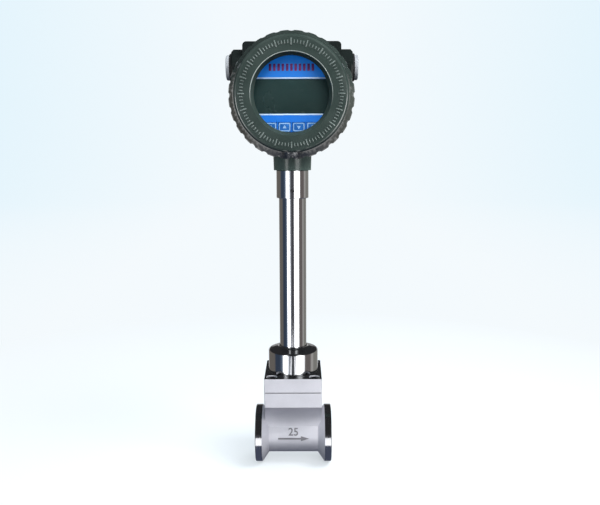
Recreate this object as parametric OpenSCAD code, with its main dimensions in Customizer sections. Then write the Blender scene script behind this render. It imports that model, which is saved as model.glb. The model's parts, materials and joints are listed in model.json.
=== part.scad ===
// Wafer type vortex flow meter: cast meter body, stainless stem and a two-compartment display head.
// Origin at the centre of the flow bore, +X along the flow, +Z up, the display faces -Y. Millimetres.

/* [Meter body] */
// Length between the two clamping faces
body_len = 80; // [76:1:100]
// Diameter of the flow bore
bore_d = 25; // [20:0.5:27]
// Diameter of the clamp discs
disc_d = 60; // [54:1:72]
// Thickness of each clamp disc
disc_t = 7; // [5:0.5:9]
// Length of the cone between disc and barrel
cone_len = 7; // [4:0.5:9]
// Diameter of the barrel between the cones
barrel_d = 40; // [38:1:44]
// Chamfer on the rims of the discs
rim_chamfer = 0.6; // [0.3:0.1:1.2]

/* [Pad and bonnet] */
// Width of pad and bonnet plate along the flow
pad_w = 59; // [56:0.5:62]
// Depth of pad and bonnet plate across the flow
pad_d = 66; // [62:1:76]
// Height of the pad's top face over the bore axis
pad_top = 55; // [52:0.5:62]
// Height of the upright face of the pad
pad_face_h = 15; // [10:0.5:20]
// Angle on the barrel where the pedestal's cove starts
foot_angle = 39.5; // [30:0.5:45]
// Rounding of the upright pad edges
pad_corner_r = 1.2; // [0.6:0.1:3]
// Thickness of the gasket between pad and plate
joint_gasket_t = 0.8; // [0.5:0.1:2]
// Distance by which the gasket stays behind the pad's faces
joint_gasket_inset = 0.6; // [0.3:0.1:1.5]
// Thickness of the bonnet plate
plate_t = 14.5; // [12:0.5:18]
// Diameter of the turned hub
hub_d = 52; // [48:1:55]
// Height of the hub's upright side
hub_side_h = 21.6; // [17:0.1:26]
// Rounding of the hub's shoulder
hub_round = 2.4; // [1.6:0.2:6]
// Rise of the hub's top from its shoulder to the weld
hub_crown = 1.8; // [0.8:0.2:4]
// Weld fillet between hub and stem
hub_fillet = 2; // [1.5:0.5:5]
// Thread diameter of the bonnet screws
bonnet_screw_d = 6; // [5:1:6]
// Length of the bonnet screws under the head
bonnet_screw_len = 20; // [16:1:21]
// Distance of the bonnet screws from the pad's side faces
bonnet_screw_edge = 7.5; // [6.5:0.5:8]

/* [Sensor] */
// Distance of the shedder bar upstream of the sensor
bar_x = 13; // [12:0.5:15]
// Width of the shedder bar's front face
bar_w = 7; // [5:0.5:8]
// Length of the shedder bar along the flow
bar_len = 6.2; // [5:0.1:7]
// Width of the shedder bar's tail
bar_tail_w = 2; // [1:0.5:3]
// Diameter of the sensor well
well_d = 30; // [26:1:32]
// Height of the well's floor over the bore axis
well_floor = 38; // [36:0.5:42]
// Diameter of the probe's stem
probe_d = 13.8; // [11:0.2:15]
// Thickness of the probe's flange
flange_t = 4.5; // [3:0.5:6]
// Thickness of the seal under the flange
sensor_gasket_t = 1.5; // [1:0.1:2.5]
// Width of the sensing blade along the flow
blade_w = 8; // [5:0.5:9]
// Thickness of the sensing blade
blade_t = 2; // [1.5:0.1:3]
// Distance that the blade reaches past the bore axis
blade_reach = 6; // [2:0.5:8]
// Diameter of the screened sensor cable
cable_d = 5; // [4:0.5:7]

/* [Stem] */
// Outer diameter of the stem tube
stem_d = 28; // [26:0.5:30]
// Wall of the stem tube
stem_wall = 2; // [1.5:0.25:3]
// Length of stem that shows between hub and collar
stem_show = 154.9; // [100:0.1:300]
// Depth of the sockets that hold the ends of the stem
socket_depth = 14; // [10:1:16]
// Outer diameter of the collar
collar_d = 33; // [32:0.5:37]
// Height of the collar
collar_h = 28.4; // [24:0.2:36]
// Diameter of the spigot that the head turns on
spigot_d = 26; // [25:0.5:28]
// Wall of the spigot
spigot_wall = 2.5; // [2:0.25:3]
// Diameter of the set screws in collar and neck
set_screw_d = 4; // [3:0.5:5]
// Height of the collar's set screw over the collar's foot
collar_screw_rise = 8; // [6:0.5:10]

/* [Housing] */
// Height of the neck under the shell
neck_len = 16.1; // [14.5:0.1:24]
// Outer diameter of the housing's round shell
shell_d = 111; // [110:1:118]
// Length of the shell between the two covers
shell_len = 64; // [63:1:80]
// Wall of the shell round the cover threads
shell_wall = 5; // [4.5:0.25:6]
// Thickness of the wall between the two compartments
bulkhead_t = 5; // [3:0.5:7]
// Diameter of the neck at its foot
neck_d = 38; // [36:0.5:44]
// Growth of the neck's diameter up to the shell
neck_taper = 1; // [0:0.25:3]
// Thickness of metal over the spigot
neck_roof_t = 2.5; // [2:0.25:4]
// Distance of the shoulder block's sides inside the shell's sides
block_inset = 6.5; // [3.5:0.5:8.5]
// Distance of the block's top under the shell's top
block_sink = 0.5; // [0.25:0.25:2.5]
// Depth of the shoulder block
block_d = 37; // [37:1:42]
// Rounding of the block's edges
block_round = 4; // [2:0.5:6]
// Diameter of the cable bosses
boss_d = 36; // [34:1:40]
// Distance between the outer faces of the two bosses
boss_span = 122; // [118:1:132]
// Distance of the cable entries under the shell's top
boss_drop = 24; // [22.5:0.5:25.5]
// Distance of the cable entries behind the shell's middle
boss_back = 10.5; // [10:0.25:11.5]
// Thread diameter of the cable entries
entry_d = 20; // [16:0.5:20]

/* [Covers] */
// Distance of the covers' grip inside the boss faces
grip_inset = 0.75; // [0.25:0.25:2]
// Height of the grip band
grip_h = 9; // [7:0.5:12]
// Distance by which the covers draw in up to their front edge
cover_taper = 6.25; // [2.5:0.25:8]
// Rounding of the covers' front edge
cover_round = 3; // [1.5:0.5:5]
// Height of the front cover over the shell
front_cover_h = 30; // [29:0.5:38]
// Height of the rear cover over the shell
rear_cover_h = 20; // [18:0.5:28]
// Thickness of the rear cover's end wall
rear_wall = 6; // [4:0.5:8]
// Length of the threaded skirt on each cover
skirt_len = 11; // [8:0.5:11]
// Wall of the threaded skirt
skirt_wall = 4.3; // [3.5:0.1:5]
// Number of grip flutes
grip_count = 28; // [16:1:36]
// Depth of the grip flutes
grip_depth = 1.4; // [0.6:0.1:2]
// Radius of the grip flutes
grip_r = 4; // [3:0.5:6]
// Section of the cover seals
oring_t = 2.4; // [1.8:0.1:3]

/* [Window] */
// Width of the lip over the edge of the glass
glass_land = 6; // [5:0.25:9]
// Widening of the opening up to the front
bevel = 3.2; // [2:0.1:6.5]
// Thickness of the lip in front of the glass
lip_t = 6; // [4:0.5:7]
// Distance of the glass edge inside the cover's skirt
glass_step = 5.2; // [4.5:0.1:5.2]
// Thickness of the window glass
glass_t = 6; // [5:0.5:8]
// Thickness of the seal in front of the glass
window_gasket_t = 1; // [0.6:0.1:1.5]
// Thickness of the ring that holds the glass
glass_ring_t = 4; // [3:0.5:4.5]

/* [Display] */
// Distance of the display face in front of the shell
face_out = 7.5; // [6.5:0.25:8]
// Thickness of the display face
face_t = 1.5; // [1.2:0.1:2]
// Running gap between the display stack and the cover's skirt
stack_gap = 1.2; // [0.8:0.1:2]
// Width of the strip between the display opening and the keys
key_band = 8.2; // [6.5:0.1:9]
// Distance of the display opening's middle under the head's axis
lcd_drop = 0.75; // [0:0.25:1.5]
// Width of the hidden border of the display module
lcd_border = 1.5; // [0.8:0.1:1.5]
// Thickness of the display module
lcd_t = 5.4; // [5:0.1:7]
// Thickness of the circuit boards
board_t = 1.6; // [1:0.2:2.4]
// Width of a key
key_w = 12; // [9:0.5:12.2]
// Height of a key
key_h = 9; // [8:0.5:10.5]
// Distance between neighbouring keys
key_pitch = 13.6; // [13.4:0.1:13.8]
// Height of the keys over the display face
key_proud = 0.8; // [0.7:0.1:1.2]
// Travel of the keys
key_travel = 0.5; // [0.3:0.05:0.6]
// Height of the amplifier board over the bulkhead
amplifier_rise = 8; // [6:0.5:9]
// Diameter of the display's mounting posts
post_d = 8; // [7:0.2:8]
// Diameter of the display screws
display_screw_d = 3; // [2.5:0.1:3.2]
// Length of the display screws under the head
display_screw_len = 16; // [14:0.5:18]

/* [Terminals and plugs] */
// Number of wiring terminals
terminal_count = 6; // [3:1:7]
// Distance between neighbouring terminals
terminal_pitch = 9; // [8:0.25:10]
// Depth of the terminal block
terminal_d = 15; // [12:0.5:18]
// Diameter of the plug heads
plug_d = 25; // [24:0.5:28]
// Thickness of the plug heads
plug_t = 3.6; // [3:0.1:6]
// Length of the threaded plug shank
plug_shank = 14; // [10:0.5:15]
// Diameter of the sealing washers
washer_d = 27.6; // [26:0.2:30]
// Thickness of the sealing washers
washer_t = 2; // [1.2:0.1:3]

/* [Fits] */
// Radial clearance of fitted parts
fit = 0.05; // [0.03:0.01:0.08]
// Radial clearance of threads
thread_fit = 0.1; // [0.06:0.01:0.15]
// Clearance between parts that only pass each other
gap = 0.3; // [0.2:0.05:0.4]

/* [Hidden] */
$fn = 64;

// Finishes
blasted = "#c9c9d2";
polished = "#d6d8dc";
paint = "#44524d";
black_rubber = "#1c1c1c";
board_green = "#2f6b3c";
plug_grey = "#b9bcc0";
dark_steel = "#55585c";

// A cut runs past the face that it leaves by this much
over = 1;

// Heights of the stack over the bore axis
bore_r = bore_d / 2;
barrel_r = barrel_d / 2;
plate_z = pad_top + joint_gasket_t;
hub_z = plate_z + plate_t;
hub_h = hub_side_h + hub_round + hub_crown + hub_fillet;
collar_z = hub_z + hub_h + stem_show;
neck_z = collar_z + collar_h;
shell_r = shell_d / 2;
head_rise = shell_r + neck_len;
head_z = neck_z + head_rise;

// Sensor well and its contents
flange_z = well_floor + sensor_gasket_t;
flange_gap = 1;
flange_d = well_d - 2 * flange_gap;
post_rise = 8;
post_wall = 1.5;
probe_post_d = cable_d + 2 * post_wall;
probe_top_z = flange_z + flange_t + post_rise;
probe_hole_d = probe_d + 2 * fit;
passage_step = 1;
passage_d = stem_d - 2 * stem_wall - 2 * passage_step;
bar_shift = (bar_w * bar_w - bar_tail_w * bar_tail_w) / (8 * bar_len);
bar_foot_d = 2 * norm([bar_len / 2 - bar_shift, bar_w / 2]) + gap;
bar_hole_d = bar_foot_d + 2 * fit;
bar_socket = 4.5;
bar_top_z = bore_r + bar_socket;
bar_weld = 0.5;

// Bonnet screws: head, counterbore and place
screw_x = pad_w / 2 - bonnet_screw_edge;
screw_y = pad_d / 2 - bonnet_screw_edge;
screw_head_d = bonnet_screw_d * 5 / 3;
head_gap = 0.5;
head_sink = 1;
tap_spare = 2;
counterbore_d = screw_head_d + 2 * head_gap;
counterbore_depth = bonnet_screw_d + head_sink;
screw_grip = plate_t - counterbore_depth + joint_gasket_t;
tap_depth = bonnet_screw_len - screw_grip + tap_spare;

// Head measures along its own axis, which points to the viewer from the shell's middle
front_z = shell_len / 2;
skirt_r = shell_r - shell_wall;
cover_d = boss_span - 2 * grip_inset;
cover_front_d = cover_d - 2 * cover_taper;
boss_rise = shell_r - boss_drop;
block_w = shell_d - 2 * block_inset;
block_top = shell_r - block_sink;
compartment_r = skirt_r + thread_fit;
skirt_in_r = skirt_r - skirt_wall;
skirt_end = front_z - skirt_len;
seal_seat_r = skirt_r + oring_t + 2 * fit;
seal_seat_depth = oring_t + 2 * gap;
entry_margin = 1.5;
bulk_back = entry_d / 2 - boss_back + entry_margin;
bulk_front = bulk_back + bulkhead_t;
spigot_h = head_rise - compartment_r - neck_roof_t - 2 * gap;
neck_bore_d = spigot_d + 2 * fit;
wire_hole_d = 9;
wire_hole_z = bulk_front + wire_hole_d / 2 + gap;
neck_screw_rise = spigot_h / 2;
groove_gap = 1;
groove_h = set_screw_d + 2 * groove_gap;
groove_depth = 0.8;

// Window stack, counted back from the cover's front
front_end = front_z + front_cover_h;
lip_z = front_end - lip_t;
glass_front = lip_z - window_gasket_t;
glass_back = glass_front - glass_t;
ring_back = glass_back - glass_ring_t;
glass_r = skirt_in_r - glass_step;
window_r = glass_r - glass_land;
ring_in_r = window_r + glass_land / 4;
rear_end = front_z + rear_cover_h;

// Display stack, counted back from the display face
face_front = front_z + face_out;
face_back = face_front - face_t;
board_front = face_back - lcd_t;
board_back = board_front - board_t;
stack_r = skirt_in_r - stack_gap;
rim_wall = 0.8;
rim_in_r = stack_r - rim_wall;
amplifier_z = bulk_front + amplifier_rise;
post_angles = [41, 139, 212.5, 327.5];
post_reach = stack_r - post_d / 2 - gap;
post_step = 1.2;
post_tip_d = post_d - 2 * post_step;
display_head_d = display_screw_d * 1.8;
display_head_h = display_screw_d * 0.6;
key_flange = 0.5;
key_flange_t = 1;
key_row_half = 1.5 * key_pitch + key_w / 2 + key_flange;
key_drop = sqrt(pow(rim_in_r - gap, 2) - pow(key_row_half, 2)) - key_h / 2 - key_flange;
lcd_h = 2 * (key_drop - key_h / 2 - key_band - lcd_drop);
lcd_w = 2 * (sqrt(pow(rim_in_r - gap, 2) - pow(lcd_h / 2 + lcd_drop + lcd_border, 2)) - lcd_border);
switch_gap = 0.1;
switch_top = face_back - key_flange_t - key_travel - switch_gap;
switch_w = 6;
switch_h = switch_top - board_front;

// Parts on the amplifier board
chip_w = 14;
chip_d = 10;
chip_h = 2.5;
chip_pitch = 20;
strip_w = 24;
strip_d = 6;
strip_h = 8;
strip_rise = 16;
capacitor_d = 8;
capacitor_h = 9;
capacitor_pitch = 14;
capacitor_drop = 20;

// Terminals
terminal_end = 1;
terminal_w = terminal_count * terminal_pitch + 2 * terminal_end;
terminal_h = 18;
terminal_drop = 4;
terminal_screw_d = 5.2;
well_wall = 1.2;

// Cable plugs
plug_out = boss_span / 2 + washer_t;
plug_hex = entry_d / 2;
plug_hex_sink = 3;
plug_hex_depth = plug_t + plug_hex_sink;

// Rectangle with true round corners
module round_rect(w, d, r) {
    square([w - 2 * r, d], center = true);
    square([w, d - 2 * r], center = true);
    for (x = [-1, 1], y = [-1, 1])
        translate([x * (w / 2 - r), y * (d / 2 - r)])
            circle(r);
}

// Flat ring
module ring(outer_r, inner_r, h) {
    difference() {
        cylinder(h = h, r = outer_r);
        translate([0, 0, -over])
            cylinder(h = h + 2 * over, r = inner_r);
    }
}

// Hexagon given by its width across flats
module hex(across, h) {
    cylinder(h = h, d = across / cos(30), $fn = 6);
}

// The head's own frame: x to the right, y up, z to the viewer
module on_head() {
    translate([0, 0, head_z])
        rotate([90, 0, 0])
            children();
}

// The rear side's frame: z points away from the viewer
module on_rear() {
    on_head()
        mirror([0, 0, 1])
            children();
}

// Frame of a cable entry: z points out of the boss, side is -1 on the left and 1 on the right
module on_entry(side) {
    on_head()
        translate([0, boss_rise, -boss_back])
            rotate([0, 90 * side, 0])
                children();
}

// At each bonnet screw
module at_bonnet_screws() {
    for (x = [-1, 1], y = [-1, 1])
        translate([x * screw_x, y * screw_y, 0])
            children();
}

// At each display post
module at_posts() {
    for (angle = post_angles)
        translate(post_reach * [cos(angle), sin(angle)])
            children();
}

// At the place of key number i, counted from the left
module at_key(i) {
    translate([(i - 2.5) * key_pitch, -key_drop, 0])
        children();
}

// Half section of discs, cones and barrel along the flow
module tube_section() {
    half = body_len / 2;
    disc_r = disc_d / 2;
    polygon([
        [0, -half], [disc_r - rim_chamfer, -half], [disc_r, rim_chamfer - half],
        [disc_r, disc_t - half], [barrel_r, disc_t + cone_len - half],
        [barrel_r, half - disc_t - cone_len], [disc_r, half - disc_t],
        [disc_r, half - rim_chamfer], [disc_r - rim_chamfer, half], [0, half]
    ]);
}

// Pedestal from the barrel up to the pad, its front and back hollowed to a cove
module pedestal() {
    half = pad_d / 2;
    edge = barrel_r * [cos(foot_angle), sin(foot_angle)];
    reach = half - edge.x;
    rise = pad_top - pad_face_h - edge.y;
    cove_r = (reach * reach + rise * rise) / (2 * reach);
    intersection() {
        rotate([90, 0, 90])
            linear_extrude(pad_w, center = true)
                difference() {
                    translate([-half, edge.y - over])
                        square([pad_d, pad_top - edge.y + over]);
                    for (side = [-1, 1])
                        translate([side * (edge.x + cove_r), edge.y])
                            circle(cove_r);
                }
        linear_extrude(pad_top)
            round_rect(pad_w, pad_d, pad_corner_r);
    }
}

module meter_body() {
    color(blasted)
        difference() {
            union() {
                rotate([0, 90, 0])
                    rotate_extrude()
                        tube_section();
                pedestal();
            }
            rotate([0, 90, 0])
                cylinder(h = body_len + 2 * over, d = bore_d, center = true);
            translate([0, 0, well_floor])
                cylinder(h = pad_top - well_floor + over, d = well_d);
            cylinder(h = pad_top, d = probe_hole_d);
            translate([-bar_x, 0, -barrel_r - over])
                cylinder(h = barrel_r + over + bar_top_z, d = bar_hole_d);
            at_bonnet_screws()
                translate([0, 0, pad_top - tap_depth])
                    cylinder(h = tap_depth + over, d = bonnet_screw_d + 2 * fit);
        }
}

// Trapezoid bar across the bore, its wide face upstream, on a round welded foot
module shedder_bar() {
    foot_z = -sqrt(barrel_r * barrel_r - bar_foot_d * bar_foot_d / 4);
    nose = bar_shift - bar_len / 2;
    color(polished)
        translate([-bar_x, 0, 0]) {
            translate([0, 0, foot_z])
                cylinder(h = -bore_r - bar_weld - foot_z, d = bar_foot_d);
            translate([0, 0, -bore_r - bar_weld])
                linear_extrude(bar_top_z + bore_r + bar_weld - gap)
                    polygon([
                        [nose, -bar_w / 2], [nose + bar_len, -bar_tail_w / 2],
                        [nose + bar_len, bar_tail_w / 2], [nose, bar_w / 2]
                    ]);
        }
}

// Probe: flange in the well, stem down to the bore, blade in the flow and a post for the cable
module sensor_probe() {
    color(polished) {
        translate([0, 0, flange_z])
            cylinder(h = flange_t, d = flange_d);
        translate([0, 0, bore_r])
            cylinder(h = flange_z - bore_r, d = probe_d);
        translate([-blade_w / 2, -blade_t / 2, -blade_reach])
            cube([blade_w, blade_t, bore_r + blade_reach]);
        translate([0, 0, flange_z + flange_t])
            cylinder(h = post_rise, d = probe_post_d);
    }
}

module sensor_gasket() {
    color(black_rubber)
        translate([0, 0, well_floor])
            ring(flange_d / 2, probe_hole_d / 2 + gap, sensor_gasket_t);
}

// Flat gasket whose edge shows as the dark joint line under the plate
module joint_gasket() {
    color(black_rubber)
        translate([0, 0, pad_top])
            difference() {
                linear_extrude(joint_gasket_t)
                    round_rect(pad_w - 2 * joint_gasket_inset, pad_d - 2 * joint_gasket_inset, pad_corner_r);
                translate([0, 0, -over])
                    cylinder(h = joint_gasket_t + 2 * over, d = well_d);
                at_bonnet_screws()
                    translate([0, 0, -over])
                        cylinder(h = joint_gasket_t + 2 * over, d = bonnet_screw_d + 2 * gap);
            }
}

// Plate with a ring underneath that presses the probe's flange into its well
module bonnet_plate() {
    press_h = plate_z - flange_z - flange_t;
    color(blasted)
        difference() {
            union() {
                translate([0, 0, plate_z])
                    linear_extrude(plate_t)
                        round_rect(pad_w, pad_d, pad_corner_r);
                translate([0, 0, plate_z - press_h])
                    cylinder(h = press_h + plate_t / 2, d = flange_d);
            }
            translate([0, 0, plate_z - press_h - over])
                cylinder(h = press_h + plate_t + 2 * over, d = passage_d);
            at_bonnet_screws() {
                translate([0, 0, plate_z - over])
                    cylinder(h = plate_t + 2 * over, d = bonnet_screw_d + 2 * gap);
                translate([0, 0, hub_z - counterbore_depth])
                    cylinder(h = counterbore_depth + over, d = counterbore_d);
            }
        }
}

// Half section of the hub: upright side, round shoulder, conical top and weld fillet
module hub_section() {
    hub_r = hub_d / 2;
    shoulder_z = hub_side_h + hub_round;
    hub_land = 0.8;
    land_r = stem_d / 2 + fit + hub_land;
    difference() {
        union() {
            square([hub_r, hub_side_h]);
            polygon([
                [0, 0], [hub_r - hub_round, 0], [hub_r - hub_round, shoulder_z],
                [land_r + hub_fillet, shoulder_z + hub_crown], [0, shoulder_z + hub_crown]
            ]);
            translate([hub_r - hub_round, hub_side_h])
                circle(hub_round);
            square([land_r + hub_fillet, hub_h]);
        }
        translate([land_r + hub_fillet, hub_h])
            circle(hub_fillet);
        translate([-over, -over])
            square([passage_d / 2 + over, hub_h + 2 * over]);
        translate([-over, hub_h - socket_depth])
            square([stem_d / 2 + fit + over, socket_depth + over]);
    }
}

module bonnet_hub() {
    color(polished)
        translate([0, 0, hub_z])
            rotate_extrude()
                hub_section();
}

// Four socket-head screws
module bonnet_screws() {
    color(dark_steel)
        at_bonnet_screws()
            translate([0, 0, hub_z - counterbore_depth]) {
                difference() {
                    cylinder(h = bonnet_screw_d, d = screw_head_d);
                    translate([0, 0, bonnet_screw_d / 2])
                        hex(bonnet_screw_d * 5 / 6, bonnet_screw_d);
                }
                translate([0, 0, -bonnet_screw_len])
                    cylinder(h = bonnet_screw_len, d = bonnet_screw_d);
            }
}

module stem_tube() {
    color(polished)
        translate([0, 0, hub_z + hub_h - socket_depth])
            ring(stem_d / 2, stem_d / 2 - stem_wall, stem_show + 2 * socket_depth);
}

// Half section of the collar with its stem socket and the spigot with the locking groove
module collar_section() {
    collar_r = collar_d / 2;
    spigot_r = spigot_d / 2;
    edge = 0.6;
    groove_z = collar_h + neck_screw_rise;
    difference() {
        polygon([
            [0, 0], [collar_r - edge, 0], [collar_r, edge], [collar_r, collar_h - edge],
            [collar_r - edge, collar_h], [spigot_r, collar_h], [spigot_r, groove_z - groove_h / 2],
            [spigot_r - groove_depth, groove_z - groove_h / 2],
            [spigot_r - groove_depth, groove_z + groove_h / 2], [spigot_r, groove_z + groove_h / 2],
            [spigot_r, collar_h + spigot_h - edge], [spigot_r - edge, collar_h + spigot_h],
            [0, collar_h + spigot_h]
        ]);
        translate([-over, -over])
            square([spigot_r - spigot_wall + over, collar_h + spigot_h + 2 * over]);
        translate([-over, -over])
            square([stem_d / 2 + fit + over, socket_depth + over]);
    }
}

module stem_collar() {
    color(polished)
        translate([0, 0, collar_z])
            difference() {
                rotate_extrude()
                    collar_section();
                translate([0, 0, collar_screw_rise])
                    rotate([90, 0, 0])
                        cylinder(h = collar_d, d = set_screw_d + 2 * fit);
            }
}

// Set screw with a hexagon socket, from its tip outwards along z
module set_screw(len) {
    difference() {
        cylinder(h = len, d = set_screw_d);
        translate([0, 0, len / 2])
            hex(set_screw_d / 2, len);
    }
}

module collar_screw() {
    tip = stem_d / 2 + fit;
    color(dark_steel)
        translate([0, 0, collar_z + collar_screw_rise])
            rotate([90, 0, 0])
                translate([0, 0, tip])
                    set_screw(collar_d / 2 - tip - gap);
}

// Screened lead on the stem's axis, from the probe's post to the neck
module sensor_cable() {
    color(black_rubber)
        translate([0, 0, probe_top_z])
            cylinder(h = neck_z + spigot_h - probe_top_z - 2 * gap, d = cable_d);
}

// Neck under the shell with a cast fillet at its root
module neck() {
    foot_r = neck_d / 2;
    top_r = foot_r + neck_taper / 2;
    flare = 4;
    root_h = head_rise - sqrt(shell_r * shell_r - top_r * top_r);
    rotate_extrude()
        difference() {
            polygon([
                [0, 0], [foot_r, 0], [top_r, root_h - flare], [top_r + flare, root_h - flare],
                [top_r + flare, root_h + over], [0, root_h + over]
            ]);
            translate([top_r + flare, root_h - flare])
                circle(flare);
        }
}

// Block and bosses that carry the two cable entries
module shoulder_block() {
    boss_edge = 2;
    block_foot = -8;
    translate([0, (block_top + block_foot) / 2, -boss_back])
        linear_extrude(block_d, center = true)
            round_rect(block_w, block_top - block_foot, block_round);
    for (side = [-1, 1])
        translate([0, boss_rise, -boss_back])
            rotate([0, 90 * side, 0])
                rotate_extrude()
                    polygon([
                        [0, 0], [boss_d / 2, 0], [boss_d / 2, boss_span / 2 - boss_edge],
                        [boss_d / 2 - boss_edge, boss_span / 2], [0, boss_span / 2]
                    ]);
}

// Cast housing: round shell, shoulder block, bosses and neck, with a compartment on either side
module housing() {
    color(paint)
        difference() {
            union() {
                on_head() {
                    cylinder(h = shell_len, r = shell_r, center = true);
                    shoulder_block();
                }
                translate([0, 0, neck_z])
                    neck();
            }
            on_head() {
                translate([0, 0, bulk_front])
                    cylinder(h = front_z - bulk_front + over, r = compartment_r);
                translate([0, 0, -front_z - over])
                    cylinder(h = front_z + bulk_back + over, r = compartment_r);
                for (side = [-1, 1])
                    translate([0, 0, side * (front_z - seal_seat_depth / 2 + over / 2)])
                        cylinder(h = seal_seat_depth + over, r = seal_seat_r, center = true);
            }
            for (side = [-1, 1])
                on_entry(side)
                    cylinder(h = boss_span, d = entry_d);
            translate([0, 0, neck_z - over])
                cylinder(h = spigot_h + 2 * gap + over, d = neck_bore_d);
            translate([0, -wire_hole_z, neck_z + spigot_h])
                cylinder(h = head_rise - spigot_h, d = wire_hole_d);
            translate([0, 0, neck_z + neck_screw_rise])
                rotate([-90, 0, 0])
                    cylinder(h = neck_d, d = set_screw_d + 2 * fit);
        }
}

// Set screw at the back of the neck, over the spigot's groove
module neck_screw() {
    tip = spigot_d / 2 - groove_depth + gap;
    color(dark_steel)
        translate([0, 0, neck_z + neck_screw_rise])
            rotate([-90, 0, 0])
                translate([0, 0, tip])
                    set_screw(neck_d / 2 - tip - gap);
}

// Stepped posts: the amplifier board rests on the step, the display board on the top
module display_posts() {
    pilot = display_screw_d + 2 * fit;
    color("#b0a060")
        on_head()
            at_posts()
                difference() {
                    union() {
                        translate([0, 0, bulk_front])
                            cylinder(h = amplifier_rise, d = post_d);
                        translate([0, 0, bulk_front])
                            cylinder(h = board_back - bulk_front, d = post_tip_d);
                    }
                    translate([0, 0, face_front - display_screw_len - over])
                        cylinder(h = display_screw_len, d = pilot);
                }
}

// Round circuit board with a hole of the given diameter at each post
module round_board(hole_d) {
    difference() {
        cylinder(h = board_t, r = stack_r);
        at_posts()
            translate([0, 0, -over])
                cylinder(h = board_t + 2 * over, d = hole_d);
    }
}

module display_board() {
    color(board_green)
        on_head()
            translate([0, 0, board_back])
                round_board(display_screw_d + 2 * gap);
}

module lcd_panel() {
    color("#39423f")
        on_head()
            translate([0, -lcd_drop, board_front])
                linear_extrude(lcd_t)
                    square([lcd_w + 2 * lcd_border, lcd_h + 2 * lcd_border], center = true);
}

// One small switch with its round button under each key
module key_switches() {
    button_h = 0.8;
    color(black_rubber)
        on_head()
            for (i = [1:4])
                at_key(i)
                    translate([0, 0, board_front]) {
                        translate([-switch_w / 2, -switch_w / 2, 0])
                            cube([switch_w, switch_w, switch_h - button_h]);
                        cylinder(h = switch_h, d = switch_w / 2);
                    }
}

// Blue face: disc with a rim that stands on the display board, a display opening and key holes
module face_plate() {
    color("#146ed2")
        on_head()
            difference() {
                translate([0, 0, board_front])
                    cylinder(h = face_front - board_front, r = stack_r);
                translate([0, 0, board_front - over])
                    cylinder(h = face_back - board_front + over, r = rim_in_r);
                translate([-lcd_w / 2, -lcd_drop - lcd_h / 2, face_back - over])
                    cube([lcd_w, lcd_h, face_t + 2 * over]);
                for (i = [1:4])
                    at_key(i)
                        translate([-key_w / 2 - gap, -key_h / 2 - gap, face_back - over])
                            cube([key_w + 2 * gap, key_h + 2 * gap, face_t + 2 * over]);
                at_posts()
                    translate([0, 0, face_back - over])
                        cylinder(h = face_t + 2 * over, d = display_screw_d + 2 * gap);
            }
}

// Screws from the display face into the posts
module display_screws() {
    color(dark_steel)
        on_head()
            at_posts()
                translate([0, 0, face_front]) {
                    difference() {
                        cylinder(h = display_head_h, d = display_head_d);
                        translate([-display_head_d, -display_screw_d / 8, display_head_h / 2])
                            cube([2 * display_head_d, display_screw_d / 4, display_head_h]);
                    }
                    translate([0, 0, -display_screw_len])
                        cylinder(h = display_screw_len, d = display_screw_d);
                }
}

module amplifier_board() {
    color(board_green)
        on_head()
            translate([0, 0, amplifier_z])
                round_board(post_tip_d + 2 * fit);
}

// Chips, capacitors and a plug strip on the amplifier board
module amplifier_parts() {
    color(black_rubber)
        on_head()
            translate([0, 0, amplifier_z + board_t]) {
                for (side = [-1, 1])
                    translate([side * chip_pitch / 2 - chip_w / 2, -chip_d / 2, 0])
                        cube([chip_w, chip_d, chip_h]);
                translate([-strip_w / 2, strip_rise, 0])
                    cube([strip_w, strip_d, strip_h]);
                for (i = [-1:1])
                    translate([i * capacitor_pitch, -capacitor_drop, 0])
                        cylinder(h = capacitor_h, d = capacitor_d);
            }
}

// At each wiring terminal
module at_terminals() {
    for (i = [1:terminal_count])
        translate([(i - (terminal_count + 1) / 2) * terminal_pitch, -terminal_drop, 0])
            children();
}

// Block on the bulkhead with a screw well and a wire hole for each terminal
module terminal_block() {
    well_depth = terminal_d / 2;
    color("#2b2b2b")
        on_rear()
            difference() {
                translate([-terminal_w / 2, -terminal_drop - terminal_h / 2, -bulk_back])
                    cube([terminal_w, terminal_h, terminal_d]);
                at_terminals() {
                    translate([0, 0, terminal_d - bulk_back - well_depth])
                        cylinder(h = well_depth + over, d = terminal_screw_d + 2 * well_wall);
                    translate([0, 0, terminal_d / 4 - bulk_back])
                        rotate([-90, 0, 0])
                            cylinder(h = terminal_h, d = terminal_d / 4);
                }
            }
}

module terminal_screws() {
    head_h = terminal_d / 4;
    slot_w = 1;
    color(polished)
        on_rear()
            at_terminals()
                translate([0, 0, terminal_d / 2 - bulk_back])
                    difference() {
                        cylinder(h = head_h, d = terminal_screw_d);
                        translate([-terminal_screw_d, -slot_w / 2, head_h / 2])
                            cube([2 * terminal_screw_d, slot_w, head_h]);
                    }
}

// Seal that lies in the shell's seat and round the cover's skirt
module cover_oring() {
    color(black_rubber)
        translate([0, 0, front_z - oring_t / 2 - gap])
            rotate_extrude()
                translate([(skirt_r + seal_seat_r) / 2, 0])
                    circle(d = oring_t);
}

// Half section of a cover without its hollow: skirt, grip band, cone and round front edge
module cover_section(height) {
    edge = 1;
    band_r = cover_d / 2;
    front_r = cover_front_d / 2;
    end = front_z + height;
    polygon([
        [0, skirt_end], [skirt_r - edge, skirt_end], [skirt_r, skirt_end + edge], [skirt_r, front_z],
        [band_r - edge, front_z], [band_r, front_z + edge], [band_r, front_z + grip_h],
        [front_r, end - cover_round], [front_r - cover_round, end], [0, end]
    ]);
    translate([front_r - cover_round, end - cover_round])
        circle(cover_round);
}

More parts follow.
